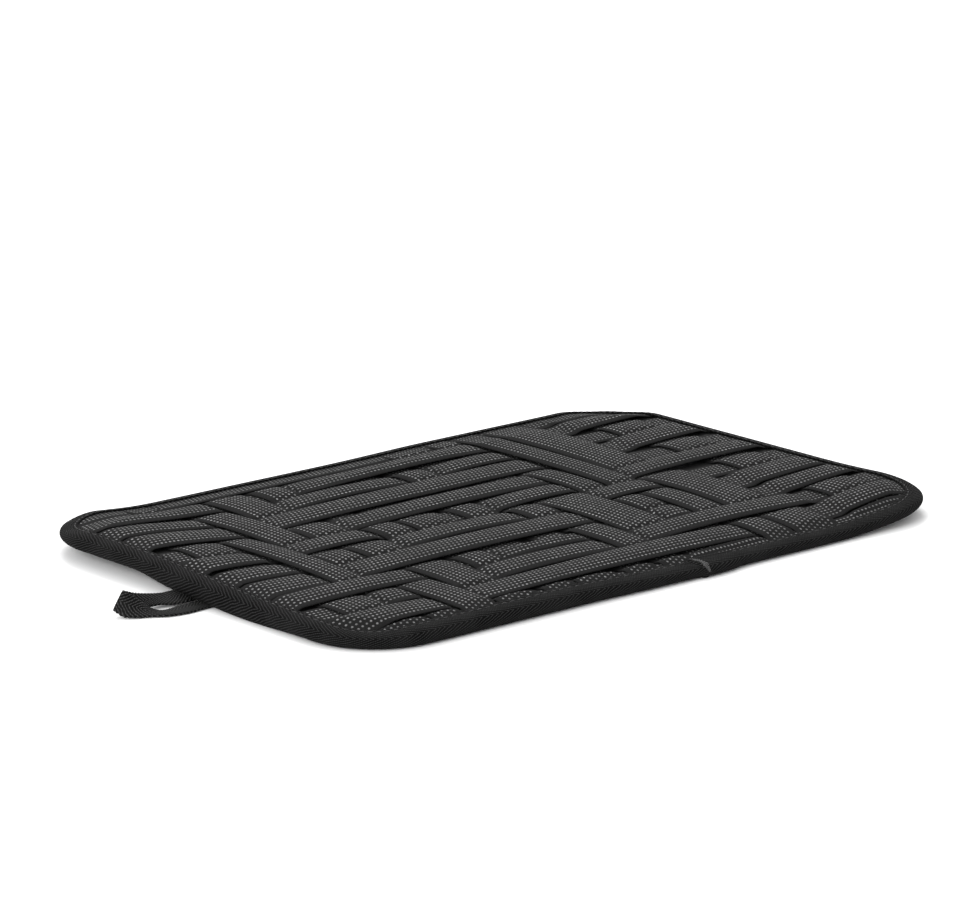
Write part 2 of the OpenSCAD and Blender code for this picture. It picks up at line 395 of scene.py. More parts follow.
def twill_material(name, dark, light, period, slope, wave, turn=0.0):
    """Herringbone twill: slanting ribs, each broken into yarns, that turn back every wave across the tape,
    first where across is -turn."""
    n = Nodes(name)
    along, across = n.cloth_uv()
    where = n.object_mm()
    side = n.math("PINGPONG", n.math("ADD", across, 100 * wave + turn), wave)
    phase = n.math("DIVIDE", n.math("ADD", along, n.math("MULTIPLY", side, slope)), period)
    phase = n.math("ADD", phase, n.math("MULTIPLY", n.noise(where, 0.22, 2.0), 1.1))
    rib = n.wave(phase, 1)
    yarn = n.wave(along, 0.85)
    cross = n.wave(across, 0.75)
    fuzz = n.noise(where, 2.6, 4.0, 0.7)
    patch = n.noise(where, 0.08, 2.0)
    raised = n.math("MULTIPLY", n.ramp(rib, -0.1, 0.95), n.ramp(yarn, -0.8, 0.6, 0.4, 1.0))
    colour = n.mix(n.math("MULTIPLY", raised, n.ramp(fuzz, 0.2, 0.6, 0.3, 1.0)), dark, light)
    colour = n.mix(n.ramp(patch, 0.35, 0.7, 0.0, 0.12), colour, light)
    height = n.math("ADD", raised, n.math("MULTIPLY", cross, 0.12))
    height = n.math("ADD", height, n.math("MULTIPLY", fuzz, 0.3))
    return n.finish(Base_Color=colour, Roughness=0.85, Normal=n.bump(height, 0.22 * MM),
                    Sheen_Weight=0.008, Sheen_Roughness=0.4, Specular_IOR_Level=0.03)


def woven_material(name, dark, light, pitch, depth, roughness=0.8, sheen=0.1):
    """Plain-woven or knitted cloth, over and under at one pitch."""
    n = Nodes(name)
    where = n.object_mm()
    split = n.node("ShaderNodeSeparateXYZ", {"Vector": where})
    warp = n.wave(split.outputs["X"], pitch)
    weft = n.wave(split.outputs["Y"], pitch)
    weave = n.math("MULTIPLY", warp, weft)
    fuzz = n.noise(where, 2.2, 4.0, 0.7)
    patch = n.noise(where, 0.04, 3.0)
    colour = n.mix(n.ramp(weave, -0.7, 0.9), dark, light)
    colour = n.mix(n.ramp(patch, 0.3, 0.7, 0.0, 0.3), colour, light)
    height = n.math("ADD", n.math("MULTIPLY", weave, 0.5), n.math("MULTIPLY", fuzz, 0.5))
    return n.finish(Base_Color=colour, Roughness=roughness, Normal=n.bump(height, depth),
                    Sheen_Weight=sheen, Sheen_Roughness=0.5, Specular_IOR_Level=0.3)


# ------------ woven bands

# Long bands, far edge to near edge: distance across from the middle, and width, in millimetres
LONG_BANDS = [
    (91.9, 15), (76, 15), (59, 13.5), (42, 16.5), (22.5, 15.5), (6.5, 14.5),
    (-11.5, 14.5), (-29, 17.2), (-46.5, 14.5), (-62.5, 15.4), (-79.5, 16), (-95.6, 14)]
# Cross bands, loop end to far end: distance along from the middle, and width
CROSS_BANDS = [
    (-124.5, 20.5), (-105.5, 14), (-89.5, 16), (-70.5, 20), (-50, 15.5), (-31, 20.5), (-8.5, 15.5),
    (9.5, 15.5), (29.5, 22.4), (48.5, 13.5), (64, 15), (83.5, 22), (124.5, 22.5)]
# The weave, as in the CAD model: a row for each long band and a letter for each cross band,
# L where the long band lies on top and C where the cross band does
WEAVE = [
    "LCLLLLLLCCCCL",
    "LLLCCLLLLLCCL",
    "LLCCLLLCLLCCC",
    "LLCLLLLLLLCCL",
    "CCCCLLLLLCCCC",
    "LCLLCCCLLCCLL",
    "LCCCLLLCCLLCC",
    "LCLLLLLLCCCCL",
    "LLLCCLLCCLCCL",
    "CLCCLLLCLLLLC",
    "LLCLLLLLLLCCL",
    "CCCCCCCCLLCCL"]

COVER_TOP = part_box("front_cover")[1].z

# One long band has been pulled narrow and leaves a gap along its far side. The gap's middle,
# half-length and depth are in millimetres
NARROWED_BAND = "long_band_9"
GAP_MIDDLE = -16
GAP_HALF = 30
GAP_DEPTH = 7.6

# A band's mesh: how long its cells are, and how many columns of points its top and its underside have
BAND_CELL = 0.85 * MM
TOP_COLUMNS = 19
UNDER_COLUMNS = 7


def level_along(s, crossings, on_top, ends):
    """How high a band rides: 1 where it lies over the bands it crosses, 0 on the cover. Also how
    far each raised span bows up, in millimetres, more over a long span. crossings, on_top and ends
    tell, in millimetres, where the other bands lie, which of them it covers, and its half-length."""
    edges = [(c - w / 2, c + w / 2) for c, w in crossings]
    beyond, end_slope = 6, 8.0
    turns = [-ends - beyond]
    slopes = [end_slope]
    for k in range(len(edges) - 1):
        left, right = edges[k][1], edges[k + 1][0]
        run = max(right - left, 2.0) + 1.6
        down = 1 if on_top[k] else -1
        turns.append((left + right) / 2 - 0.6 * down)
        slopes.append(min(run, 6.0) / 2)
    turns.append(ends + beyond)
    slopes.append(end_slope)
    level = np.zeros_like(s)
    arch = np.zeros_like(s)
    k = 0
    while k < len(on_top):
        if on_top[k]:
            last = k
            while last + 1 < len(on_top) and on_top[last + 1]:
                last += 1
            a, b = turns[k] * MM, turns[last + 1] * MM
            rise = smooth((s - a) / (2 * slopes[k] * MM) + 0.5)
            fall = smooth((s - b) / (2 * slopes[last + 1] * MM) + 0.5)
            level += rise - fall
            bow = min(0.30 + (b - a) / (75 * MM), ARCH_LIMIT)
            arch += bow * (rise - fall) * np.clip(1 - ((s - (a + b) / 2) / ((b - a) / 2)) ** 2, 0, 1)
            k = last
        k += 1
    return level, arch


def band_columns(centre, half, limit):
    """Where a band's columns of points lie across it, from -1 to 1, and which of them are on its top.
    A side that would run under the binding is cut at the limit."""
    cut_low = max(-1, (-limit - centre * MM) / half)
    cut_high = min(1, (limit - centre * MM) / half)
    top_t = np.sin(np.linspace(-math.pi / 2, math.pi / 2, TOP_COLUMNS))
    under_t = np.sin(np.linspace(math.pi / 2, -math.pi / 2, UNDER_COLUMNS + 2))[1:-1]
    t = np.concatenate([top_t, under_t])
    side = np.concatenate([np.ones(TOP_COLUMNS), -np.ones(UNDER_COLUMNS)])
    return cut_low + (t + 1) / 2 * (cut_high - cut_low), side


def band_middle(x, y, level, arch, bow, tip):
    """The height of a band's middle on the flat board. It is crowned by bow, bowed up by arch and
    tilted by tip, and stays low enough to pass under the binding's lip."""
    inside = edge_distance(x, y)
    open_part = smooth((inside - LIP_W + 2.5 * MM) / (6 * MM))
    crown = (0.30 + 0.30 * level) * MM * open_part
    middle = (COVER_TOP * squeeze(x, y) + BAND_T / 2 + BAND_STEP * level + crown * bow
              + arch * MM * (0.8 + 0.2 * bow) + tip)
    # Along the far edge the bands lean up against the lip
    far = smooth((y - 55 * MM) / (25 * MM))
    under_lip = (EDGE_H - TAPE_T + 0.5 * LIP_RISE * far) * squeeze(x, y) - BAND_T / 2 + 0.05 * MM
    slope = 0.36 - 0.26 * far
    return np.minimum(middle, under_lip + slope * np.maximum(inside - LIP_W + 0.8 * MM, 0))


def make_band(name, centre, width, crossings, on_top, along_x, seed):
    """One strip of elastic, crowned across its width, that climbs over and dives under its neighbours."""
    half = width / 2 * MM
    t, side = band_columns(centre, half, (HALF_W if along_x else HALF_L) - BAND_END)
    lateral = centre * MM + t * half
    if along_x:
        end = reach(lateral, HALF_L, HALF_W, BAND_END)
    else:
        end = reach(lateral, HALF_W, HALF_L, BAND_END)
    steps = int(2 * end.max() / BAND_CELL)
    u = np.linspace(-1, 1, steps)[:, None]
    s = u * end
    wander = 0.35 * MM * np.sin(s / (23 * MM) + seed) * np.sin(s / (61 * MM) + 2.1 * seed)
    side_at = lateral + wander
    if along_x:
        # The long bands spread a little towards the loop's end
        side_at = side_at + t * 0.5 * MM * smooth((-s - 95 * MM) / (35 * MM))
    pulled = np.zeros_like(s)
    if name == NARROWED_BAND:
        from_middle = np.abs(s / MM - GAP_MIDDLE) / GAP_HALF
        pulled = smooth(1.5 - 1.5 * from_middle) * np.maximum(t, 0)
        side_at = side_at - pulled * GAP_DEPTH * MM
    x, y = (s, side_at) if along_x else (side_at, s)
    level, arch = level_along(s, crossings, on_top, end.max() / MM)
    bow = 1 - np.abs(t) ** 2.2
    tip = 0.12 * MM * math.sin(7 * seed) * t * level
    middle = band_middle(x, y, level, arch, bow, tip) - 0.9 * MM * pulled
    thick = BAND_T / 2 * np.sqrt(np.clip(1 - np.abs(t) ** 10, 0, 1))
    ripple = 0.05 * MM * np.sin(s / (3.1 * MM) + 3 * seed) * bow
    z = middle + side * thick + ripple + lift(x, y)
    uv_along = s / MM + 500
    uv_across = t * half / MM - pulled * GAP_DEPTH
    uv = np.stack([uv_along, uv_across], axis=-1)
    mesh = grid_mesh(name, place(x, y, z), uv)
    rows = max(1, round((width - 2 * PLAIN_BORDER - 0.6) / DOT_ROW) + 1)
    piece = add_object(name + "_elastic", mesh, elastic_with(rows))
    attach(piece, "board")
    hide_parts(name)


def make_weave():
    for i, (centre, width) in enumerate(LONG_BANDS):
        on_top = [letter == "L" for letter in WEAVE[i]]
        make_band(f"long_band_{i + 1}", centre, width, CROSS_BANDS, on_top, True, 0.7 * i)
    rows = list(range(len(LONG_BANDS)))[::-1]
    for j, (centre, width) in enumerate(CROSS_BANDS):
        on_top = [WEAVE[i][j] == "C" for i in rows]
        crossings = [LONG_BANDS[i] for i in rows]
        make_band(f"cross_band_{j + 1}", centre, width, crossings, on_top, False, 1.3 * j + 4)


# ------------ binding


def around(inset, spacing):
    """Points round the outline from the middle of the near edge, anticlockwise from above:
    position, outward normal, distance along the outer edge, and that edge's length."""
    straight_l, straight_w = 2 * (HALF_L - CORNER_R), 2 * (HALF_W - CORNER_R)
    quarter = math.pi / 2 * CORNER_R
    lengths = [
        straight_l / 2, quarter, straight_w, quarter, straight_l, quarter, straight_w, quarter,
        straight_l / 2]
    total = sum(lengths)
    count = int(total / spacing)
    walk = np.arange(count) * total / count
    px, py, nx, ny = (np.zeros(count) for _ in range(4))
    bounds = np.concatenate([[0], np.cumsum(lengths)])
    starts = [
        ((0, -HALF_W), -90),
        ((HALF_L - CORNER_R, -HALF_W), -90),
        ((HALF_L, -(HALF_W - CORNER_R)), 0),
        ((HALF_L, HALF_W - CORNER_R), 0),
        ((HALF_L - CORNER_R, HALF_W), 90),
        ((-(HALF_L - CORNER_R), HALF_W), 90),
        ((-HALF_L, HALF_W - CORNER_R), 180),
        ((-HALF_L, -(HALF_W - CORNER_R)), 180),
        ((-(HALF_L - CORNER_R), -HALF_W), 270)]
    for k, ((sx, sy), facing) in enumerate(starts):
        on = (walk >= bounds[k]) & (walk < bounds[k + 1])
        d = walk[on] - bounds[k]
        a = math.radians(facing)
        if k % 2 == 0:
            px[on] = sx - math.sin(a) * d
            py[on] = sy + math.cos(a) * d
            nx[on], ny[on] = math.cos(a), math.sin(a)
        else:
            turn = a + d / CORNER_R
            cx, cy = sx - CORNER_R * math.cos(a), sy - CORNER_R * math.sin(a)
            px[on], py[on] = cx + CORNER_R * np.cos(turn), cy + CORNER_R * np.sin(turn)
            nx[on], ny[on] = np.cos(turn), np.sin(turn)
    return px - nx * inset, py - ny * inset, nx, ny, walk, total


def binding_section():
    """The tape's outer face from the front lip's edge round to the back lip's: distance in, and height."""
    top = [
        (LIP_W, EDGE_H + LIP_RISE - 0.25 * MM), (LIP_W - 0.25 * MM, EDGE_H + LIP_RISE),
        (6.2 * MM, EDGE_H + 0.30 * MM), (5.6 * MM, EDGE_H + 0.16 * MM),
        (5.0 * MM, EDGE_H + 0.22 * MM), (4.3 * MM, EDGE_H + 0.12 * MM)]
    radius = EDGE_H / 2
    turn = [(radius * (1 - 0.98 * math.sin(a)), radius * (1 + math.cos(a)))
            for a in np.radians(np.arange(12, 169, 12))]
    # The back lip has a shallow groove, where the rear seam lies
    bottom = [
        (4.3 * MM, 0.0), (5.2 * MM, 0.05 * MM), (5.7 * MM, 0.26 * MM), (6.1 * MM, 0.34 * MM),
        (6.5 * MM, 0.26 * MM), (6.9 * MM, 0.03 * MM), (LIP_W - 0.2 * MM, 0.02 * MM), (LIP_W, 0.2 * MM)]
    return np.array(top + turn + bottom)


def lap_bulge(x, inset):
    """How far the doubled tape beside its overlap bulges out over the near edge."""
    along = smooth((x + 45 * MM) / (52 * MM)) * (1 - smooth((x - 27 * MM) / (9 * MM)))
    return 1.3 * MM * along * np.clip(1 - inset / LIP_W, 0, 1)


def corner_puckers(walk, nx, ny, inward, upper):
    """How far the cloth stands up where it gathers into small puckers to turn the corners."""
    corner = smooth(np.minimum(np.abs(nx), np.abs(ny)) * 2.0)[:, None]
    ruck = np.sin(walk / (3.4 * MM) * 2 * math.pi + 1.5 * np.sin(walk / (9 * MM)))[:, None]
    return corner * inward ** 1.5 * ruck * 0.30 * MM * upper


def lap_swell(x0, inset):
    """How far the upper of the tape's two ends stands up over the other, with a frayed, slanting edge."""
    from_lap = x0 - LAP_X + 0.35 * inset
    lap = smooth(from_lap / (0.9 * MM)) * (1 - smooth((from_lap - 6 * MM) / LAP_L))
    frayed = np.exp(-((from_lap - 1.2 * MM) / (1.2 * MM)) ** 2)
    return TAPE_T * lap + 0.60 * MM * frayed


def lip_waver(walk, x0, near_side, inward):
    """How far the lips' edges stray from straight, most along the near side."""
    waver = 0.12 * MM * np.sin(walk / (17 * MM))[:, None] * inward ** 2
    waver = waver + 0.09 * MM * np.sin(walk / (7.3 * MM) + 1)[:, None] * inward
    uneven = 0.30 * MM * np.sin(x0 / (9 * MM)) * np.sin(x0 / (23 * MM) + 2)
    return waver + np.where(near_side, uneven, 0)[:, None] * inward


def loop_hang(x, y):
    """How much lower the underside hangs along the left edge, where the loop's ends are sewn in."""
    hang = smooth((35 * MM - y) / (22 * MM)) * smooth((y + 70 * MM) / (45 * MM))
    hang = hang * smooth((-x - 140 * MM) / (8 * MM))
    return 1.9 * MM * hang


def make_binding(material):
    section = binding_section()
    x0, y0, nx, ny, walk, total = around(0.0, 0.9 * MM)
    tangent = np.gradient(section, axis=0)
    normal = np.stack([tangent[:, 1], -tangent[:, 0]], axis=1)
    normal /= np.linalg.norm(normal, axis=1)[:, None]
    inner = (section - normal * TAPE_T)[::-1]
    ring = np.concatenate([section, inner])
    outward = np.concatenate([normal, normal[::-1] * 0.3])
    lengths = np.concatenate([[0], np.cumsum(np.linalg.norm(np.diff(section, axis=0), axis=1))])
    across = (lengths - lengths[-1] / 2) / MM
    across = np.concatenate([across, across[::-1]])
    inset = ring[:, 0]
    inward = (ring[:, 0] / LIP_W)
    upper = np.where(ring[:, 1] > EDGE_H / 2, 1.0, -0.3)
    near_side = ny < -0.9
    near_lap = (near_side & (np.abs(x0) < 60 * MM))[:, None]
    swell = corner_puckers(walk, nx, ny, inward, upper)
    swell = swell + np.where(near_lap, lap_swell(x0[:, None], inset), 0)
    # The sewn lap pulls the lip's edge outwards beside it
    pinch = 1.8 * MM * np.exp(-((x0[:, None] - LAP_X + 3 * MM) / (4 * MM)) ** 2)
    pinch = np.where(near_lap, pinch, 0)
    waver = lip_waver(walk, x0, near_side, inward)
    depth = inset + waver - pinch * inward + swell * outward[:, 0]
    x = x0[:, None] - nx[:, None] * depth
    y = y0[:, None] - ny[:, None] * depth
    y = y - np.where(near_side[:, None], lap_bulge(x0[:, None], inset), 0)
    tall = ring[:, 1] + swell * outward[:, 1]
    hang = loop_hang(x, y) * (1 - ring[:, 1] / EDGE_H)
    z = np.maximum(tall * squeeze(x, y) + lift(x, y) - hang, 0)
    uv = np.stack(np.broadcast_arrays(walk[:, None] / MM, across), axis=-1)
    closing = uv[:1].copy()
    closing[..., 0] = total / MM
    uv = np.concatenate([uv, closing], axis=0)
    mesh = grid_mesh("binding_twill_tape", place(x, y, z), uv, close_u=True)
    piece = add_object("binding_twill_tape", mesh, material)
    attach(piece, "board")
    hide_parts("binding_tape")


# ------------ stitches


def make_stitches(name, centres, directions, material, length, thick, node=None, facing=1):
    """A seam of separate stitches. Each is a short thread that dips into the cloth at both ends.
    centres are points of the row frame, and directions unit vectors along the seam. facing is 1 for
    a seam seen from above and -1 for one seen from below."""
    rings, sides = 5, 6
    along = np.linspace(-1, 1, rings)
    turn = full_turn(sides)
    side = np.cross(directions, (0, 0, 1.0))
    side /= np.linalg.norm(side, axis=1)[:, None]
    radius = thick / 2 * np.sqrt(1 - 0.75 * along ** 2)
    dip = -0.55 * facing * thick * along ** 2
    points = (centres[:, None, None, :]
              + directions[:, None, None, :] * (along * length / 2)[:, None, None]
              + side[:, None, None, :] * (radius[:, None] * np.cos(turn))[..., None])
    points[..., 2] += dip[:, None] + radius[:, None] * np.sin(turn)
    faces = []
    uv = []
    for k in range(len(centres)):
        base = k * rings * sides
        for i in range(rings - 1):
            here, there = base + i * sides, base + (i + 1) * sides
            for j in range(sides):
                j2 = (j + 1) % sides
                faces.append(np.array([here + j, here + j2, there + j2, there + j]))
                uv += [(i, j), (i, j + 1), (i + 1, j + 1), (i + 1, j)]
        faces.append(base + np.arange(sides)[::-1])
        faces.append(base + (rings - 1) * sides + np.arange(sides))
        uv += [(0, 0)] * (2 * sides)
    mesh = build_mesh(name, points, faces, np.array(uv, float))
    piece = add_object(name, mesh, material)
    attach(piece, "board")
    if node:
        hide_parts(node)


def make_lap_fold(material):
    """The raw, folded-in end of the binding's upper tape, where it overlaps the start: a bar across
    the front lip and a stem down the edge. Points are distance along X, and over the tape's face
    from the lip's edge."""
    branches = [
        [(13.9, 0.1), (14.6, 2.2), (15.4, 4.2), (16.6, 6.2)],
        [(15.2, 3.6), (14.9, 5.6), (15.2, 7.4), (15.4, 9.4)]]
    rings, sides = 28, 8
    turn = full_turn(sides)
    radius = EDGE_H / 2
    flat = LIP_W - radius
    out = radius + 1.1 * MM
    points, faces = [], []
    for branch in branches:
        path = spline([(x, over_face, 0) for x, over_face in branch], rings) * MM
        x, over_face = path[:, 0], path[:, 1]
        angle = np.maximum(over_face - flat, 0) / radius
        inset = np.where(over_face < flat, LIP_W - over_face, radius - out * np.sin(angle))
        y = -HALF_W + inset
        z = np.maximum((radius + out * np.cos(angle)) * squeeze(x, y) + lift(x, y), 0.6 * MM)
        y = y - lap_bulge(x, inset)
        centre = place(x, y, z)
        along = np.gradient(centre, axis=0)
        along /= np.linalg.norm(along, axis=1)[:, None]
        side = np.cross(along, (0.1, -0.6, 1.0))
        side /= np.linalg.norm(side, axis=1)[:, None]
        up = np.cross(side, along)
        taper = np.sin(np.linspace(0.25, math.pi - 0.25, rings)) ** 0.5
        swell = (0.52 + 0.22 * np.sin(np.arange(rings) * 1.9)) * MM * taper
        ring = (centre[:, None] + side[:, None] * (np.cos(turn)[:, None] * swell[:, None, None] * 1.5)
                + up[:, None] * (np.sin(turn)[:, None] * swell[:, None, None]))
        start = sum(len(p) for p in points)
        points.append(ring.reshape(-1, 3))
        faces += tube_faces(start, rings, sides)
    mesh = build_mesh("binding_lap_fold", np.concatenate(points), faces)
    piece = add_object("binding_lap_fold", mesh, material)
    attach(piece, "board")


def make_binding_seam(material):
    """One row of lockstitch through the binding, seen on its front lip and on its rear lip."""
    x, y, nx, ny, _, _ = around(SEAM_INSET, STITCH_PITCH)
    run = np.stack([-ny, nx, np.zeros_like(nx)], axis=1)
    top = (EDGE_H + 0.30 * MM) * squeeze(x, y) + lift(x, y)
    make_stitches("binding_front_seam", place(x, y, top), run, material,
                  STITCH_LENGTH, THREAD_T, "binding_stitching")
    under = np.maximum(0.24 * MM * squeeze(x, y) + lift(x, y), 0.22 * MM)
    make_stitches("binding_rear_seam", place(x, y, under), run, material,
                  STITCH_LENGTH, THREAD_T, facing=-1)


# ------------ board, cover and lining


def layer_points(inset, low_y, high_y, columns, rows):
    """A grid over the board's outline moved in by inset, cut to a strip along X. Rows crowd
    together where the outline's corners curve."""
    limit = HALF_W - inset
    low_turn, high_turn = math.asin(max(low_y / limit, -1)), math.asin(min(high_y / limit, 1))
    y = limit * np.sin(np.linspace(low_turn, high_turn, rows))
    u = np.linspace(-1, 1, columns)
    x = u * reach(y, HALF_L, HALF_W, inset)[:, None]
    return x, np.broadcast_to(y[:, None], x.shape)


def layer_mesh(name, x, y, bottom, top):
    """A closed slab between two height fields over one grid."""
    upper = place(x, y, top)
    lower = place(x, y, bottom)[:, ::-1]
    points = np.concatenate([upper, lower], axis=1)
    uv = np.stack([points[..., 0], points[..., 1]], axis=-1) / MM
    return grid_mesh(name, points, uv)


def make_inner_layers(core_look, cover_look_darkened_for_shade, lining_look):
    inset = HALF_L - (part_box("core_board")[1].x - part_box("core_board")[0].x) / 2
    x, y = layer_points(inset, -1, 1, 90, 70)
    k, up = squeeze(x, y), lift(x, y)

    low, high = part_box("core_board")[0].z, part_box("core_board")[1].z
    # The board is pressed thin over the zip, to leave room for the slider
    groove = 1 - smooth((np.abs(y - ZIP_Y) - 6 * MM) / (6 * MM))
    tooth = 0.03 * MM * np.sin(x / (1.9 * MM)) * np.sin(y / (1.7 * MM))
    under = low * k + up + (slider_high.z + 0.42 * MM - low * k) * groove
    mesh = layer_mesh("core_board_shell", x, y, under + tooth, high * k + up + tooth)
    core = add_object("core_board_shell", mesh, core_look)
    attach(core, "board")
    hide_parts("core_board")

    # The cover's look carries painted shade: it is darker than the cloth itself, for the gaps between the
    # bands
    for node, name, look, slot in (
            ("front_cover", "front_cover_cloth", cover_look_darkened_for_shade, "cover_fabric"),
            ("pocket_lining", "pocket_lining_cloth", lining_look, "lining_fabric")):
        low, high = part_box(node)[0].z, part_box(node)[1].z
        drape = 0.02 * MM * np.sin(x / (11 * MM)) * np.sin(y / (13 * MM))
        if node == "pocket_lining":
            # The lining hangs just under the core, into its groove
            top = under - 0.02 * MM
            mesh = layer_mesh(name, x, y, top - (high - low), top)
        else:
            mesh = layer_mesh(name, x, y, low * k + up + drape, high * k + up + drape)
        cloth = add_object(name, mesh, look)
        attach(cloth, "board")
        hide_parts(node)


# ------------ rear pocket


def slack_field(x, y, seed):
    """Settles a sheet of the pocket's cloth, held round its edge and cut a little large, and
    returns how far each point of it moved from flat."""
    nv, nu = x.shape
    points = place(x, y, 0.05 * MM * np.sin(x / (17 * MM) + seed) * np.sin(y / (12 * MM)))
    i, j = cells(nv - 1, nu - 1)
    quads = np.stack([i * nu + j, i * nu + j + 1, (i + 1) * nu + j + 1, (i + 1) * nu + j], axis=1)
    temporary = bpy.data.objects.new("slack", build_mesh("slack", points, list(quads)))
    add_to_scene(temporary)
    held = np.zeros((nv, nu), bool)
    held[[0, -1], :] = True
    held[:, [0, -1]] = True
    group = temporary.vertex_groups.new(name="held")
    group.add(np.flatnonzero(held.ravel()).tolist(), 1.0, "REPLACE")
    cloth = temporary.modifiers.new("cloth", "CLOTH")
    cloth.settings.quality = 6
    cloth.settings.mass = 0.05
    cloth.settings.tension_stiffness = 12
    cloth.settings.compression_stiffness = 12
    cloth.settings.shear_stiffness = 4
    cloth.settings.bending_stiffness = 0.3
    cloth.settings.shrink_min = -0.006
    cloth.settings.vertex_group_mass = "held"
    cloth.point_cache.frame_end = 30
    scene = bpy.context.scene
    for step in range(1, 25):
        scene.frame_set(step)
    shaped = temporary.evaluated_get(bpy.context.evaluated_depsgraph_get())
    moved = np.zeros(nv * nu * 3)
    shaped.data.vertices.foreach_get("co", moved)
    scene.frame_set(1)
    bpy.data.objects.remove(temporary)
    return moved.reshape(nv, nu, 3)[..., 2] - points[..., 2]


def make_pocket_piece(node, name, low_y, high_y, rows, look, zip_side, seed):
    """One padded part of the pocket's back, held by the binding and by the zip."""
    box_low, box_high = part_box(node)
    x, y = layer_points(HELD_INSET, low_y, high_y, 110, rows)
    slack = 0.55 * MM * np.tanh(slack_field(x, y, seed) / (0.55 * MM))
    from_zip = np.abs(y - (high_y if zip_side > 0 else low_y))
    hem = smooth(from_zip / (1.6 * MM))
    seam = np.exp(-((from_zip - TOPSTITCH_IN) / (0.7 * MM)) ** 2) * 0.25 * MM
    free = smooth((edge_distance(x, y) - 7 * MM) / (14 * MM)) * smooth((from_zip - 10 * MM) / (14 * MM))
    k, up = rear_press(x, y), lift_rear(x, y)
    middle = (box_low.z + box_high.z) / 2 * k + up
    half = (box_high.z - box_low.z) / 2 * k
    pad = half * (0.55 + 0.45 * hem) - seam
    bottom = np.maximum(middle - pad + slack * free, 0.15 * MM)
    top = middle + pad
    mesh = layer_mesh(name, x, y, bottom, top)
    piece = add_object(name, mesh, look)
    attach(piece, "board")
    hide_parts(node)


def rear_press(x, y):
    """The zip and the cloth beside it keep their CAD heights; towards the edges they are pressed flat."""
    return 1 - (1 - squeeze(x, y)) * off_zip(x, y)


def zip_height(z, x, y):
    return z * rear_press(x, y) + lift_rear(x, y)


def make_zip(tape_look, coil_look, thread_look):
    for side, label in ((1, "panel_side"), (-1, "strip_side")):
        node = "zip_tape_" + label
        low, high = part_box(node)
        inner = 2.6 * MM
        across = np.linspace(inner, inner + high.y - low.y, 16)
        y_line = ZIP_Y + side * across
        u = np.linspace(-1, 1, 320)
        x = u * reach(y_line, HALF_L, HALF_W, HELD_INSET)[:, None]
        y = np.broadcast_to(y_line[:, None], x.shape)
        weave = 0.03 * MM * np.sin(x / (0.8 * MM))
        middle = zip_height((low.z + high.z) / 2, x, y) + weave
        half = (high.z - low.z) / 2
        mesh = layer_mesh(node + "_cloth", x, y, middle - half, middle + half)
        piece = add_object(node + "_cloth", mesh, tape_look)
        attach(piece, "board")
        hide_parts(node)

        make_coil("zip_coil_" + label, side, coil_look)

        # A row of topstitching holds the pocket cloth to the zip tape
        xs = np.arange(-TOPSTITCH_END, TOPSTITCH_END, TOPSTITCH_PITCH)
        ys = np.full_like(xs, ZIP_Y + side * (HEM_GAP + TOPSTITCH_IN))
        zs = zip_height(0.92 * MM, xs, ys)
        run = np.tile(np.array([1.0, 0, 0]), (len(xs), 1))
        make_stitches("pocket_seam_" + label, place(xs, ys, zs), run, thread_look,
                      TOPSTITCH_LENGTH, TOPSTITCH_T, facing=-1)


def make_coil(node, side, look):
    """One half of the zip: a row of moulded coil teeth on a sewn cord."""
    low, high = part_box(node)
    middle_z = (low.z + high.z) / 2
    half_z = (high.z - low.z) / 2
    first, last = low.x - MID_X, high.x - MID_X
    count = int((last - first) / COIL_PITCH)
    x = first + (np.arange(count) + 0.5 + 0.25 * side) * COIL_PITCH
    y0 = np.full_like(x, ZIP_Y)
    # Each tooth is a flattened loop of wire
    turn = full_turn(12)
    ring_turn = full_turn(5)
    # The coils' facing loops reach just past the middle, between each other
    centre = 1.2 * MM
    loop_y = side * (centre + 1.2 * MM * np.cos(turn))
    loop_z = (half_z - WIRE_R) * np.sin(turn)
    loop_x = 0.22 * COIL_PITCH * np.sin(turn)
    out_y, out_z = side * np.cos(turn), np.sin(turn)
    base = zip_height(middle_z, x, y0)
    points = place(
        x[:, None, None] + loop_x[:, None] + WIRE_R * np.sin(ring_turn),
        y0[:, None, None] + loop_y[:, None] + WIRE_R * np.cos(ring_turn) * out_y[:, None],
        base[:, None, None] + loop_z[:, None] + WIRE_R * np.cos(ring_turn) * out_z[:, None])
    nt, nr = len(turn), len(ring_turn)
    a, b, c = np.meshgrid(np.arange(count), np.arange(nt), np.arange(nr), indexing="ij")
    a, b, c = a.ravel(), b.ravel(), c.ravel()
    corners = [(a * nt + (b + db) % nt) * nr + (c + dc) % nr
               for db, dc in ((0, 0), (1, 0), (1, 1), (0, 1))]
    faces = list(np.stack(corners, axis=1))
    points = points.reshape(-1, 3)
    # The cord that the loops are sewn round
    rings, sides = 160, 8
    cord_x = np.linspace(first, last, rings)
    cord_turn = full_turn(sides)
    cord_y = ZIP_Y + side * (centre + 0.25 * MM)
    cord_z = zip_height(middle_z, cord_x, np.full_like(cord_x, ZIP_Y))
    cord = place(
        cord_x[:, None],
        cord_y + 0.42 * MM * np.cos(cord_turn),
        cord_z[:, None] + 0.24 * MM * np.sin(cord_turn))
    faces += tube_faces(len(points), rings, sides)
    points = np.concatenate([points, cord.reshape(-1, 3)])
    mesh = build_mesh(node + "_teeth", points, faces)
    piece = add_object(node + "_teeth", mesh, look)
    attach(piece, "board")
    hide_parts(node)


# ------------ pull loop


